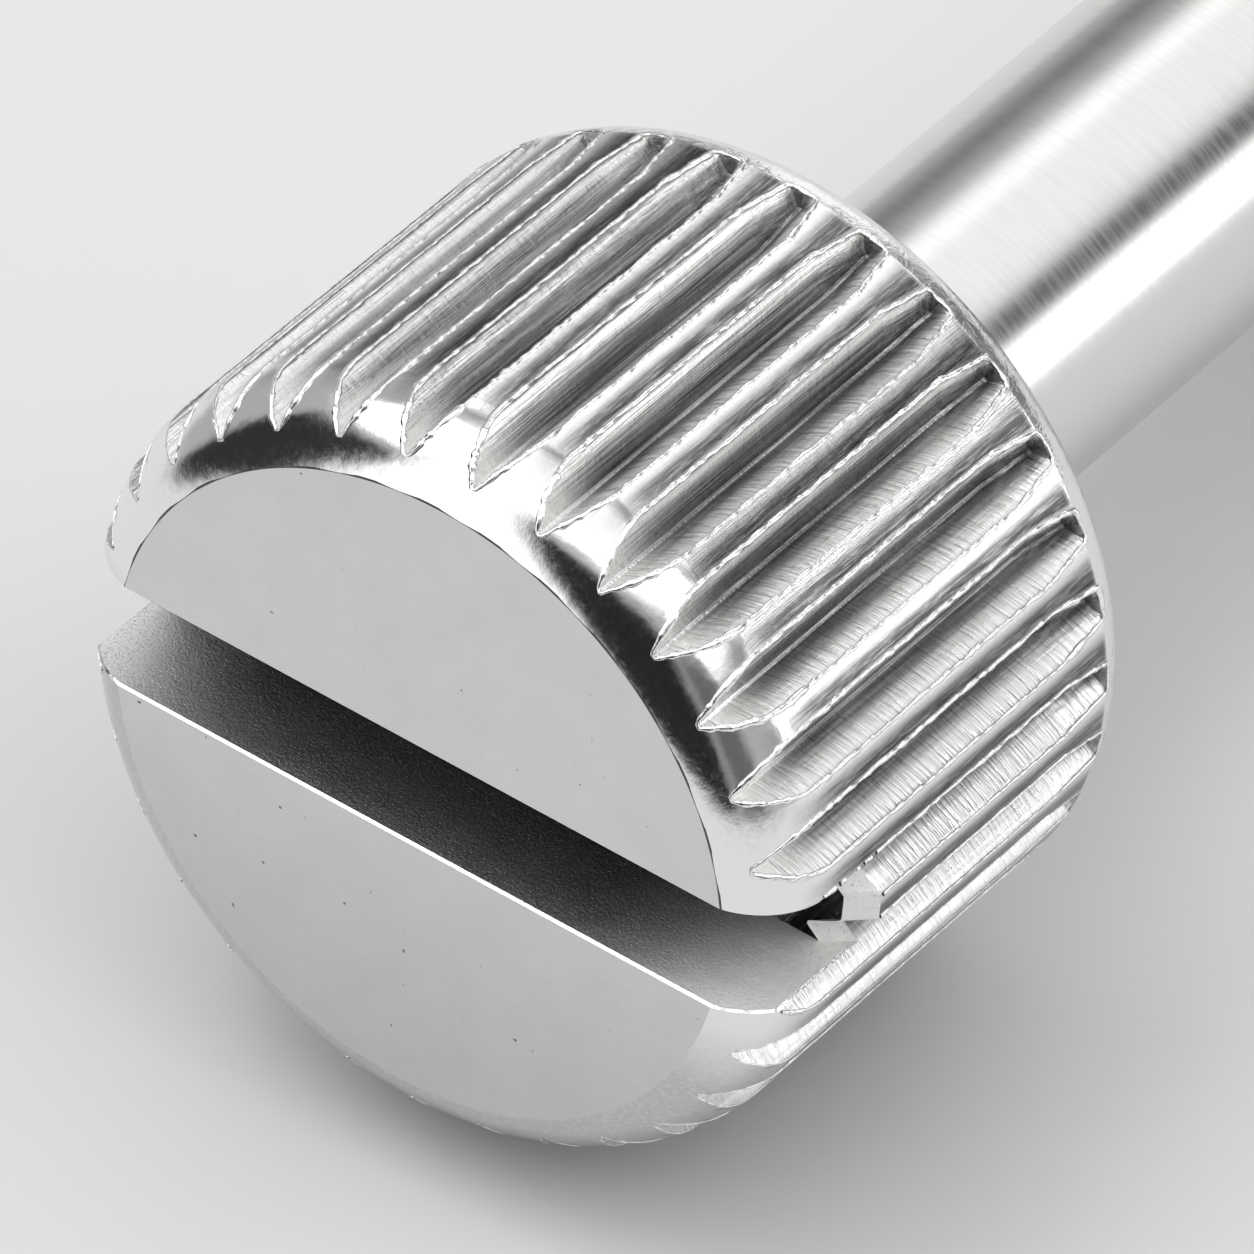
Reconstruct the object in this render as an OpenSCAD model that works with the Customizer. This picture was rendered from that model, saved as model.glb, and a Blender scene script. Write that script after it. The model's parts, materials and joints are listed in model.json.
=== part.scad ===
// Knurled thumb screw with a slotted head, turned in one piece and lying as it comes to rest.
// Sizes are in millimetres. Heights along the screw run from the slotted face to the tip.

/* [Head] */
// Diameter over the knurled lands
head_d = 12; // [11:0.5:14]
// Length of the head from the slotted face to the bearing face
head_len = 8.3; // [6:0.1:12]
// Radius of the rounding at the slotted end
front_round = 1.3; // [0.8:0.1:1.6]
// Angle at which that rounding meets the flat face, which leaves a visible edge
face_break = 15.6; // [8:0.2:30]
// Radius of the rounding at the bearing end
back_round = 0.8; // [0.4:0.1:1]

/* [Knurl] */
// Number of straight grooves round the head
groove_count = 31; // [24:1:34]
// Depth of a groove below the lands
groove_depth = 0.5; // [0.3:0.05:0.6]
// Width of a groove at the lands
groove_w = 0.76; // [0.5:0.02:0.9]
// Width of the narrow flat along the bottom of a groove
groove_floor_w = 0.06; // [0.04:0.02:0.2]
// Distance from the bearing face to the end wall of a groove
groove_end_gap = 0.75; // [0.6:0.05:1.5]
// Length over which a groove climbs out before its end wall
runout_len = 0.9; // [0.4:0.1:1.5]
// Height that the bottom of a groove gains on that climb
runout_rise = 0.22; // [0.1:0.02:0.28]

/* [Driver slot] */
// Width of the slot across the face
slot_w = 1.7; // [1:0.1:2.4]
// Depth of the slot below the face
slot_depth = 2; // [1.2:0.1:3]
// Angle of the slot from the surface that the screw lies on
slot_turn = 2.1; // [0:0.1:45]

/* [Shank] */
// Diameter of the plain shank
shank_d = 5; // [4:0.5:6]
// Length of the plain shank under the head
shank_len = 14; // [8:1:30]
// Radius of the fillet between the bearing face and the shank
fillet_r = 0.2; // [0.1:0.05:0.4]
// Amount by which the thread's crests lie below the plain shank, on diameter
thread_drop = 0.1; // [0.06:0.02:0.2]
// Length of the threaded end, with the relief groove
thread_len = 16; // [8:1:30]
// Distance from one crest of the thread to the next
thread_pitch = 0.8; // [0.5:0.1:1]
// Width of the relief groove between the plain shank and the thread
relief_w = 1.2; // [0.8:0.1:2]
// Size of the chamfer on the tip
tip_chamfer = 0.8; // [0.4:0.1:1]

/* [Hidden] */
$fn = 96;

steel = [0.79, 0.79, 0.78];
// Room that cuts run past the solid
past = 1;

head_r = head_d / 2;
shank_r = shank_d / 2;
thread_r = shank_r - thread_drop / 2;

// Rounding of the slotted end: its centre lies less than its radius behind the face
front_mid_r = head_r - front_round;
front_mid_z = front_round * cos(face_break);
// Rounding of the bearing end
back_mid_r = head_r - back_round;
back_mid_z = head_len - back_round;

shank_end_z = head_len + shank_len;
tip_z = shank_end_z + thread_len;
chamfer_z = tip_z - tip_chamfer;

// Metric thread: 60 degrees between its flanks, crests an eighth of the pitch wide
flank_angle = 30;
thread_depth = 0.6134 * thread_pitch;
thread_crest_w = thread_pitch / 8;
thread_flank_w = thread_depth * tan(flank_angle);
thread_root_r = thread_r - thread_depth;
thread_start_z = shank_end_z + relief_w + thread_flank_w;
thread_rings = floor((chamfer_z - thread_start_z - thread_crest_w) / thread_pitch);

groove_floor_r = head_r - groove_depth;
groove_end_z = head_len - groove_end_gap;
runout_start_z = groove_end_z - runout_len;
runout_tilt = atan(runout_rise / runout_len);
// Slope of a groove's walls, as half width gained for each millimetre of height
wall_slope = (groove_w - groove_floor_w) / 2 / groove_depth;

// Lying pose: the rounding of the bearing end and the edge of the tip touch the surface
reach_z = chamfer_z - back_mid_z;
reach_r = back_mid_r - thread_r;
reach = sqrt(reach_z * reach_z + reach_r * reach_r);
dip = atan(reach_r / reach_z) + asin(back_round / reach);
axis_height = chamfer_z * sin(dip) + thread_r * cos(dip);
// Middle of the lying screw's length, from its foremost and rearmost points
foremost = front_mid_z * cos(dip) - front_mid_r * sin(dip) - front_round;
rearmost = tip_z * cos(dip) + (thread_r - tip_chamfer) * sin(dip);
middle = (foremost + rearmost) / 2;

// What a rounding takes off a corner: all beyond the quarter disc about the centre (x, y)
module corner_waste(r, x, y, side) {
    difference() {
        translate([x, side > 0 ? y : y - r - past])
            square([r + past, r + past]);
        translate([x, y])
            circle(r);
    }
}

// Half section of the head, radius along x and distance from the slotted face along y
module head_section() {
    difference() {
        square([head_r, head_len]);
        corner_waste(front_round, front_mid_r, front_mid_z, -1);
        corner_waste(back_round, back_mid_r, back_mid_z, 1);
    }
}

// Half section of the shank and the end to be threaded, with the fillet under the head
module shank_section() {
    polygon([
        [0, head_len - past],
        [shank_r, head_len - past],
        [shank_r, shank_end_z],
        [thread_root_r, shank_end_z],
        [thread_root_r, shank_end_z + relief_w],
        [thread_r, thread_start_z],
        [thread_r, chamfer_z],
        [thread_r - tip_chamfer, tip_z],
        [0, tip_z]
    ]);
    difference() {
        translate([shank_r - past, head_len - past])
            square([past + fillet_r, past + fillet_r]);
        translate([shank_r + fillet_r, head_len + fillet_r])
            circle(fillet_r);
    }
}

// Half section of the space between one crest of the thread and the next
module thread_gap() {
    polygon([
        [thread_root_r, -thread_pitch + thread_crest_w + thread_flank_w],
        [thread_r, -thread_pitch + thread_crest_w],
        [thread_r + past, -thread_pitch + thread_crest_w],
        [thread_r + past, 0],
        [thread_r, 0],
        [thread_root_r, -thread_flank_w]
    ]);
}

// Turned blank before the grooves and the slot are cut. Rings at the thread's pitch stand for its helix,
// counted from the tip, where a full crest touches the surface.
module blank() {
    rotate_extrude()
        difference() {
            union() {
                head_section();
                shank_section();
            }
            for (i = [0 : thread_rings - 1])
                translate([0, chamfer_z - thread_crest_w - i * thread_pitch])
                    thread_gap();
        }
}

// Section of a groove, standing outwards along x from the bottom of the groove
module groove_section() {
    height = groove_depth + past;
    polygon([
        [0, -groove_floor_w / 2],
        [height, -groove_floor_w / 2 - height * wall_slope],
        [height, groove_floor_w / 2 + height * wall_slope],
        [0, groove_floor_w / 2]
    ]);
}

// One groove: straight from the slotted end, then climbing to its end wall
module groove_cut() {
    translate([groove_floor_r, 0, -past])
        linear_extrude(past + runout_start_z)
            groove_section();
    intersection() {
        translate([groove_floor_r, 0, runout_start_z])
            rotate([0, runout_tilt, 0])
                linear_extrude(2 * runout_len)
                    groove_section();
        translate([0, -head_r, 0])
            cube([head_d, head_d, groove_end_z]);
    }
}

// All grooves, with one of them turned straight down in the lying pose
module knurl_cuts() {
    for (i = [0 : groove_count - 1])
        rotate([0, 0, 90 + i * 360 / groove_count])
            groove_cut();
}

// Screwdriver slot right across the face
module slot_cut() {
    rotate([0, 0, slot_turn])
        translate([-head_r - past, -slot_w / 2, -past])
            cube([head_d + 2 * past, slot_w, slot_depth + past]);
}

// The whole screw, laid down with its slotted face to the front and its tip to the back
module thumb_screw() {
    color(steel)
        translate([0, -middle, axis_height])
            rotate([-90 - dip, 0, 0])
                difference() {
                    blank();
                    knurl_cuts();
                    slot_cut();
                }
}

thumb_screw();
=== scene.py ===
"""A bright metal thumb screw lying on a pale table: a knurled drum head with a driver slot, a plain shank
and a threaded end. Lengths are in metres. Each piece is built along the screw's own axis, with the slotted
face at zero and the tip above it, and is then laid down where the frame has the screw."""

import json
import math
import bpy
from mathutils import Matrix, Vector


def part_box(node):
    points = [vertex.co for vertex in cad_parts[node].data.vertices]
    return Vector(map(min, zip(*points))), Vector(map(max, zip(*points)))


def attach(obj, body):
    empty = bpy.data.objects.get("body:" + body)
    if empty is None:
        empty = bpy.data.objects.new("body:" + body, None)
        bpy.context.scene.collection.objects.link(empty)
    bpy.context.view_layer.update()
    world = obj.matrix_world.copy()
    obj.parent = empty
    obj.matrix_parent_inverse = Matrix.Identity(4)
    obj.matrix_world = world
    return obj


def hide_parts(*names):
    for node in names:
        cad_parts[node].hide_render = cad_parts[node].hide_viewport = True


bl_info = {
    "name": "Slotted Thumb Screw",
    "version": (1, 0, 0),
    "blender": (4, 5, 0),
    "location": "View3D > Sidebar > Thumb Screw",
    "description": "Builds a knurled thumb screw with a driver slot, and the table that it lies on",
    "category": "Add Mesh",
}

from functools import partial

import bmesh
import bpy
import numpy as np
from bpy.props import FloatProperty, FloatVectorProperty, IntProperty, PointerProperty
from mathutils import Matrix, Vector

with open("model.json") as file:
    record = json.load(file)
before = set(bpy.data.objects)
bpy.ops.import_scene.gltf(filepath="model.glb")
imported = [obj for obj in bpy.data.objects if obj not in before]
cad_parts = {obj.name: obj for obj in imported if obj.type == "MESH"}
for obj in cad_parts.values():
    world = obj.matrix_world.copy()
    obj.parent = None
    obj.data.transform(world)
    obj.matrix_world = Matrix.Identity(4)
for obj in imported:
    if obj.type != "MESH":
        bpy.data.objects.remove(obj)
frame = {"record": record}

NODE = "thumb_screw"
BODY = "root"
MOUNTS = {mount["name"]: mount for mount in frame["record"]["mounts"]}
BOX_LOW, BOX_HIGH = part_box(NODE)
MM = 0.001


def mm(value):
    """Millimetres as metres."""
    return value * MM


# Sizes and finishes that a user would change


LengthProperty = partial(FloatProperty, unit="LENGTH")
AngleProperty = partial(FloatProperty, subtype="ANGLE")
RoughnessProperty = partial(FloatProperty, subtype="FACTOR")
ColourProperty = partial(FloatVectorProperty, size=3, subtype="COLOR")


class HeadSizes(bpy.types.PropertyGroup):
    """Sizes of the drum head."""

    diameter: LengthProperty(
        name="Diameter", description="Across the knurled lands", default=BOX_HIGH.x - BOX_LOW.x
    )
    length: LengthProperty(
        name="Length", description="From the slotted face to the bearing face", default=mm(8.3)
    )
    front_round: LengthProperty(
        name="Front rounding", description="Radius at the slotted end", default=mm(1.3)
    )
    face_break: AngleProperty(
        name="Face break", description="Angle where the rounding meets the face", default=math.radians(15.6)
    )
    back_round: LengthProperty(name="Back rounding", description="Radius at the bearing end", default=mm(0.8))


class KnurlSizes(bpy.types.PropertyGroup):
    """Sizes of the straight grooves round the head."""

    count: IntProperty(name="Grooves", description="Number of grooves round the head", default=31, min=8)
    depth: LengthProperty(name="Depth", description="Below the lands", default=mm(0.5))
    width: LengthProperty(name="Width", description="Across a groove's mouth", default=mm(0.76))
    floor_width: LengthProperty(
        name="Floor width", description="Across a groove's narrow bottom", default=mm(0.06)
    )
    end_gap: LengthProperty(
        name="End gap", description="From the bearing face to a groove's end wall", default=mm(0.75)
    )
    runout: LengthProperty(
        name="Run-out", description="Length over which a groove climbs out", default=mm(0.9)
    )
    rise: LengthProperty(
        name="Rise", description="Height that a groove's bottom gains on the run-out", default=mm(0.22)
    )
    wall_lean: LengthProperty(
        name="Wall lean", description="How far a groove's end wall leans back", default=mm(0.04)
    )
    shoulder: LengthProperty(
        name="Shoulder", description="How far a groove's mouth is rolled over", default=mm(0.03)
    )
    burr: LengthProperty(
        name="Burr", description="Thickness of the rolled burr along a groove's mouth", default=mm(0.095)
    )


class SlotSizes(bpy.types.PropertyGroup):
    """Sizes of the driver slot."""

    width: LengthProperty(name="Width", description="Across the slot", default=mm(1.7))
    depth: LengthProperty(name="Depth", description="Below the face", default=mm(2))
    turn: AngleProperty(
        name="Turn", description="Angle of the slot from the table", default=math.radians(2.1)
    )
    chamfer: LengthProperty(
        name="Chamfer", description="Width of the ragged chamfer on the slot's edges", default=mm(0.03)
    )
    end_facet: LengthProperty(
        name="End facet", description="Size of the facet at each end of the slot's floor", default=mm(0.36)
    )


class ShankSizes(bpy.types.PropertyGroup):
    """Sizes of the plain shank and of the threaded end."""

    diameter: LengthProperty(
        name="Diameter",
        description="Across the plain shank",
        default=mm(2 * MOUNTS["plain_shank"]["dims"]["r_mm"]),
    )
    length: LengthProperty(name="Plain length", description="Under the head", default=mm(14))
    fillet: LengthProperty(name="Fillet", description="Radius under the head", default=mm(0.2))
    thread_length: LengthProperty(
        name="Thread length", description="To the tip, with the relief groove", default=mm(16)
    )
    thread_drop: LengthProperty(
        name="Thread drop", description="Crests below the shank, on diameter", default=mm(0.1)
    )
    pitch: LengthProperty(name="Pitch", description="Travel in one turn", default=mm(0.8))
    relief_width: LengthProperty(
        name="Relief width", description="Groove between the shank and the thread", default=mm(1.2)
    )
    tip_chamfer: LengthProperty(name="Tip chamfer", description="Size at the tip", default=mm(0.8))


class FinishLooks(bpy.types.PropertyGroup):
    """Colour and gloss of the plated metal."""

    metal: ColourProperty(name="Metal", description="Colour of the plate", default=(0.80, 0.80, 0.79))
    polished: ColourProperty(
        name="Polished", description="Colour of the polished lands", default=(0.87, 0.87, 0.86)
    )
    bright: ColourProperty(
        name="Bright", description="Colour of freshly cut plate", default=(0.95, 0.95, 0.94)
    )
    face: ColourProperty(name="Face", description="Colour of the satin face", default=(0.70, 0.70, 0.69))
    polish: RoughnessProperty(name="Polish", description="Roughness of lands and shank", default=0.12)
    satin: RoughnessProperty(name="Satin", description="Roughness of the flat face", default=0.3)
    milled: RoughnessProperty(name="Milled", description="Roughness of groove walls", default=0.2)
    ticked: RoughnessProperty(
        name="Ticked", description="Roughness of the frosted groove walls", default=0.42
    )
    sawn: RoughnessProperty(name="Sawn", description="Roughness of the slot's walls", default=0.33)
    slot_floor: RoughnessProperty(
        name="Slot floor", description="Roughness of the slot's floor", default=0.85
    )


class StageLooks(bpy.types.PropertyGroup):
    """The table, the light and the camera."""

    table: ColourProperty(name="Table", description="Colour of the table", default=(0.73, 0.73, 0.73))
    backdrop: ColourProperty(
        name="Backdrop", description="Colour behind the table", default=(0.79, 0.79, 0.79)
    )
    azimuth: AngleProperty(name="Azimuth", description="Camera's heading", default=math.radians(38.07))
    elevation: AngleProperty(
        name="Elevation", description="Camera above the horizon", default=math.radians(45.16)
    )
    roll: AngleProperty(name="Roll", description="Camera's tilt", default=math.radians(-2.5))
    distance: LengthProperty(
        name="Distance", description="From the camera to the face's middle", default=mm(267.86)
    )
    lens: FloatProperty(name="Lens", description="Focal length in millimetres", default=574.16)
    face_right: LengthProperty(
        name="Face right", description="Face's middle right of the picture's", default=mm(-2.8298)
    )
    face_below: LengthProperty(
        name="Face below", description="Face's middle below the picture's", default=mm(2.2639)
    )


class ThumbScrewSettings(bpy.types.PropertyGroup):
    """Everything that the operators read."""

    head: PointerProperty(type=HeadSizes)
    knurl: PointerProperty(type=KnurlSizes)
    slot: PointerProperty(type=SlotSizes)
    shank: PointerProperty(type=ShankSizes)
    finish: PointerProperty(type=FinishLooks)
    stage: PointerProperty(type=StageLooks)


# Placing and joining


def lying_pose(slot_depth):
    """The matrix that lays a piece, built along its own axis, where the frame has the screw."""
    mount = MOUNTS["driver_slot"]
    outward = Vector(mount["axis"]).normalized()
    across = Vector((1, 0, 0))
    downward = (-outward).cross(across)
    face_middle = Vector(mount["pos_m"]) + outward * slot_depth
    return Matrix.Translation(face_middle) @ Matrix((across, downward, -outward)).transposed().to_4x4()


def circle(count):
    """Evenly spaced angles, once round."""
    return np.linspace(0, 2 * math.pi, count, endpoint=False)


def mesh_from_grid(name, points, finishes=None, closed=True, painted_shade=None):
    """A mesh from rows of points round the axis. Each face may have a finish of its own."""
    rows, columns = points.shape[:2]
    steps = columns if closed else columns - 1
    row, column = np.meshgrid(np.arange(rows - 1), np.arange(steps), indexing="ij")
    here, after = row * columns, (column + 1) % columns
    ahead = here + columns
    quads = np.stack([here + column, here + after, ahead + after, ahead + column], axis=-1)
    mesh = bpy.data.meshes.new(name)
    mesh.from_pydata(points.reshape(-1, 3).tolist(), [], quads.reshape(-1, 4).tolist())
    # The painted shade per point, which the finishes paint into the metal's colour
    if painted_shade is not None:
        kept = mesh.attributes.new("painted_shade", "FLOAT", "POINT")
        kept.data.foreach_set("value", painted_shade.astype(np.float32).ravel())
    if finishes is not None:
        mesh.polygons.foreach_set("material_index", finishes.astype(np.int32).ravel())
    return mesh


def open_mesh(mesh):
    """The mesh, open for editing."""
    bm = bmesh.new()
    bm.from_mesh(mesh)
    return bm


def face_outwards(bm, faces):
    """Turns faces so that they look away from the screw's axis."""
    bmesh.ops.recalc_face_normals(bm, faces=faces)
    if sum(f.normal.x * f.calc_center_median().x for f in faces) < 0:
        bmesh.ops.reverse_faces(bm, faces=faces)


def mark_creases(bm, limit):
    """Keeps edges crisp where the faces beside them turn by more than the limit."""
    for edge in bm.edges:
        if len(edge.link_faces) == 2 and edge.calc_face_angle(0.0) > limit:
            edge.smooth = False


def finish_piece(bm, mesh, materials, slot_depth):
    """Writes the edited faces back and lays the mesh down, as a piece that stands for the frame's solid."""
    bm.to_mesh(mesh)
    bm.free()
    places = np.empty(len(mesh.vertices) * 3, np.float32)
    mesh.vertices.foreach_get("co", places)
    kept = mesh.attributes.new("screw_mm", "FLOAT_VECTOR", "POINT")
    kept.data.foreach_set("vector", places / MM)
    mesh.polygons.foreach_set("use_smooth", [True] * len(mesh.polygons))
    for material in materials:
        mesh.materials.append(material)
    mesh.transform(lying_pose(slot_depth))
    mesh.update()
    piece = bpy.data.objects.new(mesh.name, mesh)
    bpy.context.scene.collection.objects.link(piece)
    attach(piece, BODY)
    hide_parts(NODE)
    return piece


def smooth_noise(values, step, seed):
    """Even noise from -1 to 1 along a line, with about one swing for each step."""
    count = 4096
    swings = np.random.default_rng(seed).uniform(-1, 1, count)
    place = np.asarray(values) / step
    whole = np.floor(place).astype(int)
    part = place - whole
    ease = part * part * (3 - 2 * part)
    return swings[whole % count] * (1 - ease) + swings[(whole + 1) % count] * ease


# The head

# The head's finishes, each with its place among the materials
FINISH_NAMES = ("face", "land", "groove", "rim", "slot", "ticked", "floor", "edge", "chamfer", "round")
FINISH = {name: place for place, name in enumerate(FINISH_NAMES)}
# The first groove looks straight down
FIRST_ANGLE = math.pi / 2
# Rows of faces on each part of the drum's outside, from the face to the bearing end
ROUNDING_ROWS, STRAIGHT_ROWS, RUNOUT_ROWS, WALL_ROWS, RIM_ROWS = 20, 12, 14, 5, 14
# The straight rows stand closer together toward the rounding
STRAIGHT_EASE = 1.5
# Share of the rounding's first row that the painted shade line along the face takes
EDGE_LINE = 0.4
# Sharpest turn between faces of the head that still looks smooth
HEAD_CREASE = math.radians(30)


class HeadShape:
    """Sizes worked out from the head's and the knurl's settings, and the shape of one groove."""

    # Columns up a groove's wall, as shares of its height, and then across half a land, as shares of its width
    WALL = (0.0, 0.12, 0.26, 0.4, 0.53, 0.65, 0.76, 0.86, 0.94, 1.0)
    LAND = (0.07, 0.3, 0.65, 1.0)
    # How much painted shade each of those columns gets, on the side toward the next groove and on the other
    WALL_PAINTED_SHADE = {
        1: (0.95, 0.9, 0.8, 0.55, 0.1, 0.0, 0.0, 0.0, 0.2, 1.0),
        -1: (0.95, 0.85, 0.9, 0.85, 0.8, 0.6, 0.1, 0.0, 0.8, 1.0),
    }
    LAND_PAINTED_SHADE = {1: (0.0, 0.0, 0.4, 0.85), -1: (0.5, 1.0, 0.95, 0.85)}
    # Share of a wall's height at which its mouth begins to roll over, and the share that is left above it
    ROLL_START, ROLL_SPAN = 0.7, 0.3

    def __init__(self, head, knurl):
        self.radius = head.diameter / 2
        self.front_round = head.front_round
        self.face_break = head.face_break
        self.front_mid_r = self.radius - head.front_round
        self.front_mid_z = head.front_round * math.cos(head.face_break)
        self.face_radius = self.front_mid_r + head.front_round * math.sin(head.face_break)
        self.back_round = head.back_round
        self.back_mid_r = self.radius - head.back_round
        self.back_mid_z = head.length - head.back_round
        self.count = knurl.count
        self.pitch = 2 * math.pi / knurl.count
        self.floor_radius = self.radius - knurl.depth
        self.half_floor = knurl.floor_width / 2
        self.slope = (knurl.width - knurl.floor_width) / 2 / knurl.depth
        self.shoulder = knurl.shoulder
        self.end_z = head.length - knurl.end_gap
        self.runout_z = self.end_z - knurl.runout
        self.rise = knurl.rise
        self.wall_lean = knurl.wall_lean
        side = [(share, False) for share in self.WALL] + [(share, True) for share in self.LAND]
        left = [(-1, share, land) for share, land in reversed(side)]
        right = [(1, share, land) for share, land in side[:-1]]
        columns = left + [(0, 0.0, False)] + right
        self.painted_shade = np.array([self.painted_shade_at(*column) for column in columns])
        self.side = np.array([column[0] for column in columns], float)
        self.share = np.array([column[1] for column in columns], float)
        self.land = np.array([column[2] for column in columns])

    def painted_shade_at(self, side, share, land):
        """How much painted shade one column gets."""
        shares, table = (self.LAND, self.LAND_PAINTED_SHADE) if land else (self.WALL, self.WALL_PAINTED_SHADE)
        return table[side or 1][shares.index(share)]

    def front_arc(self, bend):
        """Radius and height on the front rounding, for the angle from its middle."""
        radius = self.front_mid_r + self.front_round * np.sin(bend)
        return radius, self.front_mid_z - self.front_round * np.cos(bend)

    def front_bend(self, radius):
        """The angle from the middle of the front rounding, for a radius on it."""
        return np.arcsin(np.clip((radius - self.front_mid_r) / self.front_round, -1, 1))

    def outer_radius(self, z):
        """Radius over the lands, on the straight drum and on the back rounding."""
        past = np.clip((np.asarray(z) - self.back_mid_z) / self.back_round, 0, 1)
        return self.back_mid_r + self.back_round * np.sqrt(1 - past * past)

    def floor_at(self, z):
        """Radius of a groove's bottom, which climbs on the run-out."""
        climb = np.clip((np.asarray(z) - self.runout_z) / (self.end_z - self.runout_z), 0, 1)
        return self.floor_radius + self.rise * climb

    def rolled(self, share):
        """How far a wall stands back where its mouth is rolled over."""
        return self.shoulder * np.clip((share - self.ROLL_START) / self.ROLL_SPAN, 0, 1) ** 2

    def mouth_angle(self, floor):
        """Half the angle across a groove's mouth, for the radius of its bottom."""
        half_mouth = self.half_floor + self.slope * (self.radius - floor) + self.shoulder
        return math.atan2(half_mouth, self.radius)

    def section(self, z):
        """Angles and radii of one pitch's columns, straight across the screw at height z."""
        floor = float(self.floor_at(z))
        outer = float(self.outer_radius(z))
        height = self.share * (self.radius - floor)
        across = self.half_floor + self.slope * height + self.rolled(self.share)
        wall_angle = np.arctan2(across, floor + height)
        wall_radius = np.minimum(np.hypot(across, floor + height), outer)
        edge_angle = self.mouth_angle(floor)
        land_angle = edge_angle + self.share * (self.pitch / 2 - edge_angle)
        angle = self.side * np.where(self.land, land_angle, wall_angle)
        radius = np.where(self.land, outer, wall_radius)
        radius[self.side == 0] = floor
        return angle, radius


def head_rows(shape):
    """Angles, radii and heights of one pitch of the drum, row by row, and the part that each row ends."""
    rows, parts = [], []

    def add(part, angle, radius, z):
        rows.append(np.broadcast_arrays(angle, radius, z))
        parts.append(part)

    angle, radius = shape.section(shape.front_mid_z)
    turn = shape.front_bend(radius)
    for step in (0, EDGE_LINE, *range(1, ROUNDING_ROWS + 1)):
        bend = shape.face_break + (turn - shape.face_break) * step / ROUNDING_ROWS
        add("rounding", angle, *shape.front_arc(bend))
    crease_z = shape.front_arc(turn)[1]
    for step in range(1, STRAIGHT_ROWS + 1):
        share = (step / STRAIGHT_ROWS) ** STRAIGHT_EASE
        add("groove", angle, radius, crease_z + (shape.runout_z - crease_z) * share)
    for step in range(1, RUNOUT_ROWS + 1):
        z = shape.runout_z + (shape.end_z - shape.runout_z) * step / RUNOUT_ROWS
        add("groove", *shape.section(z), z)
    angle, radius = shape.section(shape.end_z)
    for step in range(1, WALL_ROWS + 1):
        share = step / WALL_ROWS
        z = shape.end_z + shape.wall_lean * share
        add("end wall", angle, radius + (float(shape.outer_radius(z)) - radius) * share, z)
    start = math.asin((z - shape.back_mid_z) / shape.back_round)
    for step in range(1, RIM_ROWS + 1):
        bend = start + (math.pi / 2 - start) * step / RIM_ROWS
        r = shape.back_mid_r + shape.back_round * math.cos(bend)
        add("rim", angle, r, shape.back_mid_z + shape.back_round * math.sin(bend))
    return np.array(rows), parts


def head_painted_shade(shape, angles, heights):
    """How much painted shade each point of the drum's outside gets."""
    front = shape.front_mid_z
    onset = np.clip((heights - front * 0.55) / (front * 0.8), 0, 1)
    ending = np.clip((shape.end_z + mm(0.1) - heights) / mm(0.15), 0, 1)
    grooves = np.tile(shape.painted_shade, shape.count)[None, :] * onset * ending
    # Painted shade on the rounding's lower side, toward the table
    rounding = np.clip((front - heights) / front * 3, 0, 1)
    lower = np.clip(np.sin(angles) * 1.5 - np.cos(angles) * 0.4, 0, 0.42)
    return np.maximum(grooves, rounding * lower)


def head_grid(shape):
    """The drum's outside as a grid mesh, with the lands, grooves and rim in their own finishes."""
    rows, parts = head_rows(shape)
    angle, radius, height = rows.transpose(1, 0, 2)
    angles = np.concatenate([angle + FIRST_ANGLE + i * shape.pitch for i in range(shape.count)], axis=1)
    radii = np.tile(radius, shape.count)
    heights = np.tile(height, shape.count)
    points = np.stack([radii * np.cos(angles), radii * np.sin(angles), heights], axis=-1)
    on_wall = np.tile(~shape.land & ((shape.share < 1) | (shape.side < 0)), shape.count)
    left = np.tile(shape.side < 0, shape.count)
    wall = np.where(left, FINISH["groove"], FINISH["ticked"])
    finish_of_part = {
        "rounding": FINISH["round"],
        "groove": np.where(on_wall, wall, FINISH["land"]),
        "end wall": np.where(on_wall, wall, FINISH["rim"]),
        "rim": FINISH["rim"],
    }
    finishes = np.zeros((len(rows) - 1, len(on_wall)), int)
    for i, part in enumerate(parts[1:]):
        finishes[i] = finish_of_part[part]
    # A painted shade line runs along the face's upper edge
    finishes[0] = np.where(np.sin(angles[0]) < 0, FINISH["edge"], FINISH["round"])
    painted_shade = head_painted_shade(shape, angles, heights)
    return mesh_from_grid("thumb_screw_head", points, finishes, painted_shade=painted_shade)


def fill_loop(bm, edges, finish):
    """Fills a loop of edges with a face of the finish."""
    for face in bmesh.ops.edgeloop_fill(bm, edges=edges)["faces"]:
        face.material_index = FINISH[finish]


def close_face(bm, shape):
    """Closes the drum's front with the flat face."""
    ring = [e for e in bm.edges if e.is_boundary and all(v.co.z < shape.front_mid_z for v in e.verts)]
    fill_loop(bm, ring, "face")


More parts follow.
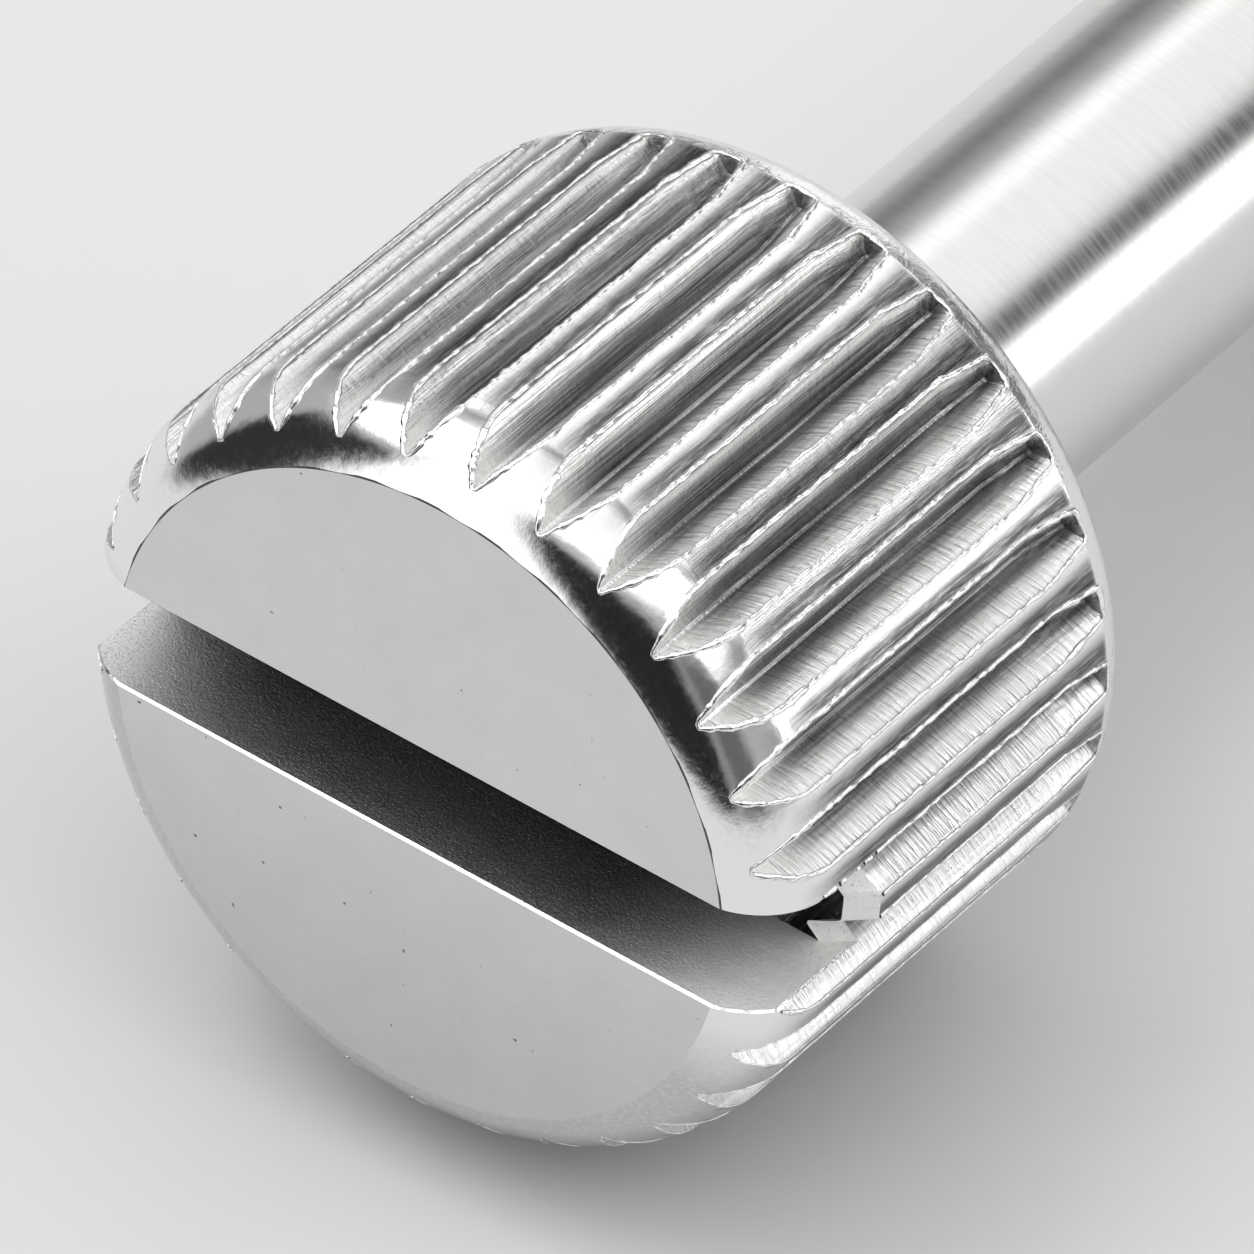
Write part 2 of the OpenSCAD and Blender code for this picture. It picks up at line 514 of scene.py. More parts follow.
class SlotCutter:
    """Cuts the driver slot into the head's mesh and lines it with ragged chamfers, walls and a floor."""

    # How near counts as lying on a plane, before and after the slot's edges are moved into place
    NEAR, SNUG = mm(0.002), mm(0.001)
    # How far inside the cut a face's middle has to lie to be taken away
    SLIVER = mm(0.0005)
    # Distance below which a cut goes through a corner instead of beside it
    WELD = mm(0.0002)
    # How far past the slot's bottom, and beside its walls, faces are looked at
    BELOW, BESIDE = mm(0.6), mm(0.2)

    def __init__(self, shape, slot):
        self.shape = shape
        self.half = slot.width / 2
        self.depth = slot.depth
        self.chamfer = slot.chamfer
        self.facet = slot.end_facet
        self.bottom = slot.depth + slot.end_facet
        self.along = Vector((math.cos(slot.turn), math.sin(slot.turn), 0))
        self.across = Vector((-math.sin(slot.turn), math.cos(slot.turn), 0))

    def split(self, bm, place, normal, keep):
        """Splits the faces whose middle keep accepts, along a plane."""
        faces = [f for f in bm.faces if keep(f.calc_center_median())]
        edges = {e for f in faces for e in f.edges}
        verts = {v for f in faces for v in f.verts}
        bmesh.ops.bisect_plane(
            bm, geom=[*verts, *edges, *faces], plane_co=place, plane_no=normal, dist=self.WELD
        )

    def inward(self, place):
        """The way into the metal from a place on the head's outside."""
        shape = self.shape
        if math.hypot(place.x, place.y) < shape.face_radius + self.SNUG and place.z < mm(0.01):
            return Vector((0, 0, 1))
        outward = Vector((place.x, place.y, 0)).normalized()
        if place.z >= shape.front_mid_z:
            return -outward
        middle = outward * shape.front_mid_r + Vector((0, 0, shape.front_mid_z))
        return (middle - place).normalized()

    def cut(self, bm):
        """Takes the slot's metal away and turns the edge that is left inward. Gives the walls' corners."""
        mouth = self.half + self.chamfer
        deep = self.depth + self.BELOW
        for side in (-1, 1):
            self.split(bm, self.across * side * mouth, self.across, lambda c: c.z < deep)
        floor_place, upward = Vector((0, 0, self.bottom)), Vector((0, 0, 1))
        self.split(bm, floor_place, upward, lambda c: abs(c.dot(self.across)) < mouth + self.BESIDE)
        gone = []
        for face in bm.faces:
            middle = face.calc_center_median()
            if abs(middle.dot(self.across)) < mouth - self.SLIVER and middle.z < self.bottom - self.SLIVER:
                gone.append(face)
        bmesh.ops.delete(bm, geom=gone, context="FACES")
        rim = [e for e in bm.edges if e.is_boundary and all(v.co.z < deep for v in e.verts)]
        made = bmesh.ops.extrude_edge_only(bm, edges=rim)["geom"]
        inner = [g for g in made if isinstance(g, bmesh.types.BMVert)]
        strip = [g for g in made if isinstance(g, bmesh.types.BMFace)]
        corners = {-1: [], 1: []}
        # The chamfer's roughness follows the edge along the slot and down its ends
        along = np.array([v.co.dot(self.along) + 3 * v.co.z for v in inner])
        ragged = 1 + 0.35 * smooth_noise(along, mm(0.07), 3) + 0.25 * smooth_noise(along, mm(0.4), 4)
        for vert, rough in zip(inner, ragged):
            place = vert.co.copy()
            offset = place.dot(self.across)
            side = 1 if offset > 0 else -1
            on_wall = abs(abs(offset) - mouth) < self.NEAR
            on_floor = abs(place.z - self.bottom) < self.NEAR
            step = self.inward(place)
            step = step - self.across * step.dot(self.across)
            vert.co = place + step * (self.facet if on_floor else self.chamfer * rough)
            if on_wall:
                vert.co += self.across * (side * self.half - vert.co.dot(self.across))
            if on_floor:
                vert.co.z = self.depth
            if on_wall and on_floor:
                corners[side].append(vert)
        for face in strip:
            on_facet = face.calc_center_median().z > self.depth
            face.material_index = FINISH["slot" if on_facet else "chamfer"]
        return corners

    def line(self, bm, corners):
        """Fills the two walls and the floor inside the chamfers."""
        for side in (-1, 1):
            if len(corners[side]) < 2:
                raise RuntimeError("a wall of the slot has fewer than two corners on the floor")
            ends = sorted(corners[side], key=lambda v: v.co.dot(self.along))
            bm.edges.new((ends[0], ends[-1]))
        inside = []
        for edge in bm.edges:
            if len(edge.link_faces) < 2 and all(self.is_inside(v.co) for v in edge.verts):
                inside.append(edge)
        for side in (-1, 1):
            wall_place = self.half - self.SNUG
            wall = [e for e in inside if all(v.co.dot(self.across) * side > wall_place for v in e.verts)]
            fill_loop(bm, wall, "slot")
        floor = [e for e in inside if all(abs(v.co.z - self.depth) < self.SNUG for v in e.verts)]
        fill_loop(bm, floor, "floor")

    def is_inside(self, place):
        """Whether a place lies within the slot's walls and above its bottom."""
        return abs(place.dot(self.across)) < self.half + self.SNUG and place.z < self.bottom


def build_head(settings, materials):
    """The knurled drum with its face and its slot."""
    shape = HeadShape(settings.head, settings.knurl)
    mesh = head_grid(shape)
    bm = open_mesh(mesh)
    close_face(bm, shape)
    cutter = SlotCutter(shape, settings.slot)
    corners = cutter.cut(bm)
    cutter.line(bm, corners)
    bmesh.ops.recalc_face_normals(bm, faces=bm.faces)
    mark_creases(bm, HEAD_CREASE)
    for edge in bm.edges:
        finishes = {f.material_index for f in edge.link_faces}
        if FINISH["face"] in finishes and len(finishes) > 1:
            edge.smooth = False
    return finish_piece(bm, mesh, materials, settings.slot.depth)


# The burrs along the grooves

# Corners of a burr's section, as angles round its middle, and how flat it lies
BEAD_CORNERS = np.radians([0, 55, 110, 180, 250, 305])
BEAD_FLATNESS = 0.6
# Room between the burrs and the slot
BURR_ROOM = mm(0.03)


def groove_outline(shape):
    """The mouth of one groove as (angle, radius, height, thickness share), once round."""
    depth = shape.radius - shape.floor_radius
    share = np.concatenate([[0.0], np.linspace(0, 1, 30) ** 0.8])
    r = shape.floor_radius + share * depth
    a = np.arctan2(shape.half_floor + shape.slope * share * depth + shape.rolled(share), r)
    a[0] = 0
    z = shape.front_arc(shape.front_bend(r))[1]
    oval = np.stack([a, r, z, 0.6 + 0.4 * np.clip(share / 0.3, 0, 1)], axis=1)
    z = np.arange(shape.front_mid_z + mm(0.05), shape.runout_z, mm(0.055))
    fade = 0.7 + 0.3 * np.exp(-(z - shape.front_mid_z) / mm(0.5))
    straight = np.stack([np.full_like(z, a[-1]), np.full_like(z, shape.radius), z, fade], axis=1)
    end, end_thickness = [], 0.9
    for z in np.linspace(shape.runout_z, shape.end_z, 18):
        mouth = shape.mouth_angle(float(shape.floor_at(z)))
        end.append((mouth, float(shape.outer_radius(z)), z, end_thickness))
    top = shape.end_z + shape.wall_lean
    for part in (0.66, 0.33, 0.0):
        end.append((mouth * part, float(shape.outer_radius(top)), top, end_thickness))
    half = np.concatenate([oval, straight, np.array(end)])
    back = half[1:-1][::-1] * np.array([-1, 1, 1, 1])
    return np.concatenate([half, back])


def burr_bead(outline, first_angle, thickness, seed):
    """A thin ragged bead that follows an outline round a groove."""
    angle = outline[:, 0] + first_angle
    outward = np.stack([np.cos(angle), np.sin(angle), np.zeros_like(angle)], axis=-1)
    centre = np.stack([outline[:, 1] * np.cos(angle), outline[:, 1] * np.sin(angle), outline[:, 2]], axis=-1)
    length = np.concatenate([[0], np.cumsum(np.linalg.norm(np.diff(centre, axis=0), axis=1))])
    ahead = np.roll(centre, -1, axis=0) - np.roll(centre, 1, axis=0)
    ahead /= np.linalg.norm(ahead, axis=1)[:, None]
    outward -= ahead * np.sum(ahead * outward, axis=1)[:, None]
    outward /= np.linalg.norm(outward, axis=1)[:, None]
    beside = np.cross(ahead, outward)
    rough = 1 + 0.45 * smooth_noise(length, mm(0.09), seed) + 0.25 * smooth_noise(length, mm(0.5), seed + 1)
    wander = mm(0.012) * smooth_noise(length, mm(0.13), seed + 2)
    centre = centre + beside * wander[:, None]
    half = (thickness / 2 * outline[:, 3] * np.clip(rough, 0.3, 1.6))[:, None]
    rings = [
        centre + half * (math.cos(c) * outward * BEAD_FLATNESS + math.sin(c) * beside) for c in BEAD_CORNERS
    ]
    return np.stack(rings, axis=1)


def kept_thickness(angle):
    """The share of its thickness that a burr keeps. Those underneath and at the far left are worn."""
    underneath = math.sin(angle) * 3
    far_left = -math.cos(angle) * 4 - 2.4
    return 1 - 0.65 * min(max(underneath, far_left, 0), 1)


def build_burrs(settings, materials):
    """Rolled burrs round the mouths of all the grooves, left off where the slot is cut."""
    shape = HeadShape(settings.head, settings.knurl)
    cutter = SlotCutter(shape, settings.slot)
    across = np.array(cutter.across)
    outline = groove_outline(shape)
    verts, faces = [], []
    count, sides = len(outline), len(BEAD_CORNERS)
    for i in range(shape.count):
        angle = FIRST_ANGLE + i * shape.pitch
        rings = burr_bead(outline, angle, settings.knurl.burr * kept_thickness(angle), 11 * i + 5)
        beside = np.abs(rings @ across) < cutter.half + BURR_ROOM
        above = rings[..., 2] < cutter.depth + cutter.facet + BURR_ROOM
        gone = (beside & above).any(axis=1)
        base = len(verts) * count * sides
        verts.append(rings.reshape(-1, 3))
        for j in range(count):
            k = (j + 1) % count
            if gone[j] or gone[k]:
                continue
            here, next_ring = base + j * sides, base + k * sides
            for s in range(sides):
                t = (s + 1) % sides
                faces.append((here + s, next_ring + s, next_ring + t, here + t))
    mesh = bpy.data.meshes.new("thumb_screw_burrs")
    mesh.from_pydata(np.concatenate(verts).tolist(), [], faces)
    bm = open_mesh(mesh)
    loose = [v for v in bm.verts if not v.link_faces]
    bmesh.ops.delete(bm, geom=loose, context="VERTS")
    bmesh.ops.recalc_face_normals(bm, faces=bm.faces)
    return finish_piece(bm, mesh, materials, settings.slot.depth)


# The shank and the thread

# A metric thread's depth as a share of its pitch, and the run of its flanks for each unit of height
THREAD_DEPTH = 0.6134
FLANK = math.tan(math.radians(30))
# Half the width of a thread's flat crest, as a share of its pitch
HALF_CREST = 0.5 / 8
# Sharpest turns between faces of the shank and of the thread that still look smooth
SHANK_CREASE, THREAD_CREASE = math.radians(40), math.radians(24)


def thread_crest(shank):
    """Radius over the thread's crests."""
    return (shank.diameter - shank.thread_drop) / 2


def thread_root(shank):
    """Radius at the bottom of the thread and of the relief groove."""
    return thread_crest(shank) - THREAD_DEPTH * shank.pitch


def shank_profile(head, shank):
    """Radius and height along the bearing face, the fillet, the plain shank and its far end."""
    radius = shank.diameter / 2
    foot = head.length + shank.fillet
    end = head.length + shank.length
    profile = [(head.diameter / 2 - head.back_round + mm(0.002), head.length)]
    profile += [(radius + shank.fillet + mm(past), head.length) for past in (1.6, 0.8, 0.4, 0)]
    fillet_rows = 8
    for step in range(1, fillet_rows + 1):
        bend = math.pi / 2 * step / fillet_rows
        r = radius + shank.fillet * (1 - math.sin(bend))
        profile.append((r, head.length + shank.fillet * (1 - math.cos(bend))))
    profile += [(radius, foot + mm(0.5 + z)) for z in np.arange(0, shank.length / MM - 1.5, 1.0)]
    edge = mm(0.04)
    profile += [(radius, end - edge), (radius - edge * 0.3, end - edge * 0.3), (radius - edge, end)]
    return profile + [((radius - edge) * 0.9, end), (thread_root(shank) * 0.99, end)]


def build_shank(settings, materials):
    """The bearing face, the fillet under the head and the plain shank."""
    profile = shank_profile(settings.head, settings.shank)
    turns = circle(256)
    points = np.array([[(r * math.cos(t), r * math.sin(t), z) for t in turns] for r, z in profile])
    mesh = mesh_from_grid("thumb_screw_shank", points)
    bm = open_mesh(mesh)
    face_outwards(bm, bm.faces)
    mark_creases(bm, SHANK_CREASE)
    return finish_piece(bm, mesh, materials, settings.slot.depth)


def thread_section():
    """One pitch of the thread as (share of the pitch, share of the depth), with softly broken edges."""
    flat, foot = HALF_CREST, HALF_CREST + THREAD_DEPTH * FLANK
    rising = [(-0.5, 0.0), (-foot - 0.03, 0.0), (-foot + 0.02, 0.08), (-foot / 2, 0.54), (-flat - 0.01, 0.96)]
    crest = [(-flat + 0.015, 1.0), (flat - 0.015, 1.0)]
    falling = [(flat + 0.01, 0.96), (foot / 2, 0.54), (foot - 0.02, 0.08), (foot + 0.03, 0.0), (0.5, 0.0)]
    return rising + crest + falling


def build_thread(settings, materials):
    """The relief groove behind the shank and the helical thread, which ends in the chamfered tip."""
    head, shank = settings.head, settings.shank
    crest = thread_crest(shank)
    root = thread_root(shank)
    start = head.length + shank.length
    tip = start + shank.thread_length
    tip_radius = crest - shank.tip_chamfer
    around = 96
    # The helix starts and ends outside the threaded end, and is held back to it
    turns = int(shank.thread_length / shank.pitch) + 3
    lead_in = 0.75
    travel = np.arange(turns * around + 1) / around
    turn = travel * 2 * math.pi
    rows = []
    for share, height in thread_section():
        z = start + (travel + share - lead_in) * shank.pitch
        r = np.full_like(z, root + (crest - root) * height)
        r = np.minimum(r, root + np.clip(z - start - shank.relief_width, 0, None) / FLANK)
        r = np.minimum(r, crest - np.clip(z - (tip - shank.tip_chamfer), 0, None))
        r = np.where(z > tip, tip_radius, r)
        rows.append(np.stack([r * np.cos(turn), r * np.sin(turn), np.clip(z, start, tip)], axis=-1))
    mesh = mesh_from_grid("thumb_screw_thread", np.array(rows), closed=False)
    bm = open_mesh(mesh)
    bmesh.ops.remove_doubles(bm, verts=bm.verts, dist=mm(0.0005))
    bmesh.ops.dissolve_degenerate(bm, edges=bm.edges, dist=mm(0.0003))
    rim = [bm.verts.new((tip_radius * math.cos(t), tip_radius * math.sin(t), tip)) for t in circle(around)]
    cap = bm.faces.new(rim)
    face_outwards(bm, [f for f in bm.faces if f is not cap])
    if cap.normal.z < 0:
        cap.normal_flip()
    mark_creases(bm, THREAD_CREASE)
    return finish_piece(bm, mesh, materials, settings.slot.depth)


# Finishes


def shade(colour, share):
    """A darker colour: a share of the one given."""
    return [share * part for part in colour]


class NodeSheet:
    """A material's nodes, with short ways to add and join them."""

    def __init__(self, tree):
        self.tree = tree
        self.nodes = tree.nodes

    def add(self, kind, **settings):
        node = self.nodes.new(kind)
        for key, value in settings.items():
            setattr(node, key, value)
        return node

    def join(self, source, target):
        self.tree.links.new(source, target)

    def feed(self, socket, value):
        """Gives a socket its value: another socket, a number, or a colour without its alpha."""
        if isinstance(value, bpy.types.NodeSocket):
            self.join(value, socket)
        elif socket.type == "RGBA":
            socket.default_value = (*value, 1.0)
        else:
            socket.default_value = value

    def math(self, operation, *values):
        node = self.add("ShaderNodeMath", operation=operation)
        for socket, value in zip(node.inputs, values):
            self.feed(socket, value)
        return node.outputs[0]

    def mix(self, share, none, full, blend_type="MIX"):
        """A colour between two others, by a share from 0 to 1."""
        node = self.add("ShaderNodeMix", data_type="RGBA", blend_type=blend_type)
        for name, value in (("Factor", share), ("A", none), ("B", full)):
            self.feed(node.inputs[name], value)
        return node.outputs["Result"]

    def place(self, scale):
        """Places on the screw in millimetres, stretched by a scale along its own axes."""
        source = self.add("ShaderNodeAttribute", attribute_name="screw_mm")
        node = self.add("ShaderNodeVectorMath", operation="MULTIPLY")
        self.join(source.outputs["Vector"], node.inputs[0])
        node.inputs[1].default_value = scale
        return node.outputs[0]

    def axis(self, name):
        """Place along one of the screw's own axes, in millimetres."""
        node = self.add("ShaderNodeSeparateXYZ")
        self.join(self.place((1, 1, 1)), node.inputs[0])
        return node.outputs[name]

    def noise(self, scale, detail, roughness, distortion=0.0):
        """Noise from 0 to 1, with swings for each millimetre along the screw's own axes."""
        node = self.add("ShaderNodeTexNoise")
        self.join(self.place(scale), node.inputs["Vector"])
        values = {"Scale": 1.0, "Detail": detail, "Roughness": roughness, "Distortion": distortion}
        for name, value in values.items():
            node.inputs[name].default_value = value
        return node.outputs["Fac"]

    def spread(self, value, low, high, to_low=0.0, to_high=1.0):
        """Eases a value between low and high into the range from to_low to to_high."""
        node = self.add("ShaderNodeMapRange", interpolation_type="SMOOTHSTEP")
        limits = {"Value": value, "From Min": low, "From Max": high, "To Min": to_low, "To Max": to_high}
        for name, limit in limits.items():
            self.feed(node.inputs[name], limit)
        return node.outputs["Result"]


class Metal(NodeSheet):
    """A plated metal with nothing on it yet, and ways to mark it."""

    def __init__(self, name, colour):
        self.material = bpy.data.materials.new(name)
        self.material.use_nodes = True
        super().__init__(self.material.node_tree)
        self.shader = self.nodes["Principled BSDF"]
        self.give("Base Color", colour)
        self.give("Metallic", 1.0)

    def give(self, name, value):
        """Sets one of the shader's own values."""
        self.feed(self.shader.inputs[name], value)

    def painted_shade(self, colour, mottle, darkest):
        """Paints shade into the metal's colour where the mesh's attribute says so, in mottled patches."""
        source = self.add("ShaderNodeAttribute", attribute_name="painted_shade")
        dark = self.math("MULTIPLY", source.outputs["Fac"], self.spread(mottle, 0.25, 0.6, 0.55, 1.0))
        self.give("Base Color", self.mix(dark, colour, shade(colour, darkest)))

    def roughen(self, marks, low, high, smooth, rough):
        """Varies the gloss by marks between low and high."""
        self.give("Roughness", self.spread(marks, low, high, smooth, rough))

    def relief(self, *layers):
        """Layers of bumps, each given by its height, strength and depth."""
        below = None
        for height, strength, depth in layers:
            node = self.add("ShaderNodeBump")
            node.inputs["Strength"].default_value = strength
            node.inputs["Distance"].default_value = depth
            self.join(height, node.inputs["Height"])
            if below is not None:
                self.join(below, node.inputs["Normal"])
            below = node.outputs["Normal"]
        self.give("Normal", below)


def face_finish(looks):
    """The flat face: satin with an even grain and a few pits, and painted shade toward its lower side."""
    metal = Metal("satin_face", looks.face)
    grain = metal.noise((30, 30, 30), 3, 0.6)
    clouds = metal.noise((0.9, 0.9, 0.9), 4, 0.6)
    pits = metal.spread(metal.noise((7, 7, 7), 1, 0.5), 0.19, 0.24)
    clean = metal.math("MULTIPLY", pits, metal.spread(clouds, 0.25, 0.75, 0.93, 1.0))
    satin = metal.mix(clean, shade(looks.face, 0.3), looks.face)
    # Painted shade: the face darkens toward its lower side, toward the table
    lower = metal.spread(metal.axis("Y"), -1.0, 5.0, 0.0, 0.18)
    metal.give("Base Color", metal.mix(lower, satin, (0.25, 0.25, 0.25), "MULTIPLY"))
    metal.roughen(grain, 0.3, 0.7, looks.satin * 0.9, looks.satin * 1.15)
    metal.relief((pits, 0.5, mm(0.01)), (grain, 0.15, mm(0.003)))
    return metal.material


def round_finish(looks):
    """The front rounding: a bright polish with faint waves, a little mottling, and painted shade on its lower
    side and in bands by the grooves.
    """
    metal = Metal("polished_round", looks.polished)
    waves = metal.noise((1.6, 1.6, 3.5), 2, 0.5)
    dots = metal.noise((14, 14, 14), 5, 0.75)
    metal.painted_shade(looks.polished, dots, 0.06)
    metal.roughen(dots, 0.35, 0.75, looks.polish * 0.7, looks.polish * 1.6)
    metal.relief((waves, 0.3, mm(0.025)), (dots, 0.12, mm(0.01)))
    return metal.material


def land_finish(looks):
    """Polished lands with painted shade along one side, in streaks, and short turning marks."""
    metal = Metal("polished_land", looks.polished)
    ticks = metal.noise((3, 3, 12), 3, 0.6)
    waves = metal.noise((1.6, 1.6, 3.5), 2, 0.5)
    streaks = metal.noise((20, 20, 1.4), 5, 0.75)
    metal.painted_shade(looks.polished, streaks, 0.06)
    metal.roughen(ticks, 0.35, 0.75, looks.polish * 0.8, looks.polish * 1.8)
    metal.relief((waves, 0.25, mm(0.02)), (streaks, 0.3, mm(0.018)), (ticks, 0.15, mm(0.012)))
    return metal.material


def groove_finish(looks):
    """Groove walls with lines along them, the cutter's cross marks, and painted shade over their lower part
    and along their top edge.
    """
    metal = Metal("milled_groove", looks.metal)
    ticks = metal.noise((4, 4, 11), 3, 0.65)
    lines = metal.noise((13, 13, 0.35), 3, 0.6)
    metal.painted_shade(looks.metal, lines, 0.15)
    metal.roughen(ticks, 0.3, 0.75, looks.milled * 0.8, looks.milled * 1.5)
    metal.relief((lines, 0.6, mm(0.04)), (ticks, 0.5, mm(0.02)))
    return metal.material


def ticked_finish(looks):
    """The other wall of each groove, frosted by the cutter's close cross marks, in the brighter colour as
    painted light, with painted shade toward its bottom and a painted shadow line along its top.
    """
    metal = Metal("ticked_groove", looks.metal)
    ticks = metal.noise((1.6, 1.6, 15), 3, 0.6)
    lines = metal.noise((13, 13, 0.5), 2, 0.5)
    metal.painted_shade(looks.bright, lines, 0.15)
    metal.roughen(ticks, 0.35, 0.7, looks.ticked * 0.6, looks.ticked * 1.2)
    metal.relief((lines, 0.3, mm(0.03)), (ticks, 0.9, mm(0.03)))
    return metal.material


def burr_finish(name, looks):
    """Bright rolled burrs and chamfers, with small dull nicks."""
    metal = Metal(name, looks.bright)
    nicks = metal.noise((16, 16, 16), 3, 0.65)
    clean = metal.spread(nicks, 0.36, 0.5)
    metal.give("Base Color", metal.mix(clean, shade(looks.bright, 0.7), looks.bright))
    metal.roughen(nicks, 0.3, 0.7, looks.polish, looks.polish * 2)
    metal.relief((nicks, 0.35, mm(0.015)))
    return metal.material


def rim_finish(looks):
    """The rim behind the grooves, with a mottled, slightly wavy polish."""
    metal = Metal("mottled_rim", looks.metal)
    blobs = metal.noise((5, 5, 5), 3, 0.55, 0.6)
    metal.roughen(blobs, 0.3, 0.7, looks.polish * 0.8, looks.polish * 2.0)
    metal.relief((blobs, 0.45, mm(0.05)))
    return metal.material


def slot_finish(name, looks, roughness):
    """The slot's grainy metal: painted light at both ends along X and painted shade in the middle, rougher
    toward the high end.
    """
    metal = Metal(name, looks.metal)
    grain = metal.noise((18, 18, 18), 4, 0.75)
    drag = metal.noise((1.5, 6, 6), 3, 0.6)
    glints = metal.spread(metal.noise((24, 24, 24), 1, 0.5), 0.64, 0.69)
    # The slot's two ends along X, which get painted light, with painted shade between them
    low_end, high_end = (-5.8, -3.2), (2.2, 5.4)
    along = metal.axis("X")
    middle = metal.math("MULTIPLY", metal.spread(along, *low_end), metal.spread(along, *high_end, 1.0, 0.0))
    metal.give("Base Color", metal.mix(middle, looks.bright, shade(looks.metal, 0.6)))
    even = metal.spread(drag, 0.2, 0.8, roughness * 0.9, roughness * 1.15)
    metal.give("Roughness", metal.math("ADD", even, metal.spread(along, *high_end, 0.0, 0.35)))
    metal.relief((drag, 0.1, mm(0.02)), (glints, 1.0, mm(0.06)), (grain, 0.9, mm(0.02)))
    return metal.material


def painted_edge_shade_finish(looks):
    """The painted shade line where the face meets the front rounding, on its upper side."""
    metal = Metal("painted_edge_shade", shade(looks.metal, 0.15))
    metal.roughen(metal.noise((6, 6, 6), 2, 0.6), 0.3, 0.7, 0.4, 0.7)
    return metal.material


def shank_finish(looks):
    """The plain shank and the thread, polished, with very faint turning marks."""
    metal = Metal("polished_shank", shade(looks.metal, 0.9))
    rings = metal.noise((1.2, 1.2, 14), 2, 0.55)
    metal.roughen(rings, 0.3, 0.7, looks.polish * 1.5, looks.polish * 1.9)
    metal.relief((rings, 0.05, mm(0.005)))
    return metal.material


# The stage

# Brightness of the studio between its cards
STUDIO_LEVEL = 0.45
# Cards of the studio: compass heading and height of the middle, half width, half height and softness, in
# degrees, and brightness. Heading 0 is +Y and 90 is +X. Each card covers what stands before it in the list.
STUDIO_CARDS = {
    "high_glow": (0, 76, 180, 16, 12, 1.15),
    "high_key": (-112, 68, 40, 10, 8, 3.4),
    "right_glow": (80, 48, 35, 14, 10, 1.95),
    "front_glow": (168, 57, 50, 8, 10, 1.5),
    "top_band": (8, 42, 30, 9, 8, 1.25),
    "back_window": (-31, 40, 12, 9, 8, 1.6),
    "low_window": (-18, 8, 11, 14, 6, 1.2),
    "back_dusk": (16, 6, 14, 16, 10, 0.2),
    "back_right": (54, 5, 14, 15, 7, 2.3),
    "back_post": (37, 26, 7, 6, 5, 0.08),
    "back_shade": (-45, 13, 12, 6, 6, 0.22),
    "key_window": (-112, 46, 26, 12, 6, 2.4),
    "front_window": (-156, 20, 14, 32, 6, 1.42),
    "side_card": (-124, 5, 19, 22, 7, 0.03),
    "right_dusk": (124, 12, 14, 24, 14, 0.14),
    "camera_shade": (166, 4, 24, 36, 8, 0.02),
}
# What the node group that draws a card is told. A card fades between its inner and its outer size.
CARD_SIZES = ("Inner Width", "Outer Width", "Inner Height", "Outer Height")
CARD_SOCKETS = ("Card Heading", "Card Height", *CARD_SIZES, "Card")
TABLE_MIDDLE = Vector((mm(70), mm(90), 0))
TABLE_RADIUS = mm(165)


def card_group():
    """A node group that lays one soft card over the studio's brightness."""
    tree = bpy.data.node_groups.new("studio_card", "ShaderNodeTree")
    names = ("Level", "Heading", "Height", *CARD_SOCKETS)
    for name in names:
        tree.interface.new_socket(name, in_out="INPUT", socket_type="NodeSocketFloat")
    tree.interface.new_socket("Level", in_out="OUTPUT", socket_type="NodeSocketFloat")
    sheet = NodeSheet(tree)
    source = sheet.add("NodeGroupInput")
    result = sheet.add("NodeGroupOutput")
    value = {name: source.outputs[name] for name in names}
    turn = sheet.math("SUBTRACT", value["Heading"], value["Card Heading"])
    aside = sheet.math("ABSOLUTE", sheet.math("WRAP", turn, -180.0, 180.0))
    above = sheet.math("ABSOLUTE", sheet.math("SUBTRACT", value["Height"], value["Card Height"]))
    wide = sheet.spread(aside, value["Inner Width"], value["Outer Width"], 1.0, 0.0)
    high = sheet.spread(above, value["Inner Height"], value["Outer Height"], 1.0, 0.0)
    mix = sheet.add("ShaderNodeMix", data_type="FLOAT")
    sheet.join(sheet.math("MULTIPLY", wide, high), mix.inputs["Factor"])
    sheet.join(value["Level"], mix.inputs["A"])
    sheet.join(value["Card"], mix.inputs["B"])
    sheet.join(mix.outputs["Result"], result.inputs["Level"])
    return tree


def light_studio(looks):
    """A pale studio with soft windows and shades, which the metal shows. The camera sees it plain."""
    world = bpy.data.worlds.new("studio")
    bpy.context.scene.world = world
    world.use_nodes = True
    sheet = NodeSheet(world.node_tree)
    ground = sheet.nodes["Background"]
    parts = sheet.add("ShaderNodeSeparateXYZ")
    sheet.join(sheet.add("ShaderNodeTexCoord").outputs["Generated"], parts.inputs[0])
    heading = sheet.math("DEGREES", sheet.math("ARCTAN2", parts.outputs["X"], parts.outputs["Y"]))
    height = sheet.math("DEGREES", sheet.math("ARCSINE", parts.outputs["Z"]))
    group = card_group()
    level = STUDIO_LEVEL
    for across, up, half_width, half_height, soft, brightness in STUDIO_CARDS.values():
        node = sheet.add("ShaderNodeGroup", node_tree=group)
        fade = soft / 2
        sizes = (half_width - fade, half_width + fade, half_height - fade, half_height + fade)
        values = dict(zip(CARD_SOCKETS, (across, up, *sizes, brightness)))
        values.update({"Level": level, "Heading": heading, "Height": height})
        for name, value in values.items():
            sheet.feed(node.inputs[name], value)
        level = node.outputs["Level"]
    sheet.join(level, ground.inputs["Color"])
    plain = sheet.add("ShaderNodeBackground")
    plain.inputs["Color"].default_value = (*looks.backdrop, 1.0)
    mix = sheet.add("ShaderNodeMixShader")
    sheet.join(sheet.add("ShaderNodeLightPath").outputs["Is Camera Ray"], mix.inputs["Fac"])
    sheet.join(ground.outputs[0], mix.inputs[1])
    sheet.join(plain.outputs[0], mix.inputs[2])
    sheet.join(mix.outputs[0], sheet.nodes["World Output"].inputs["Surface"])


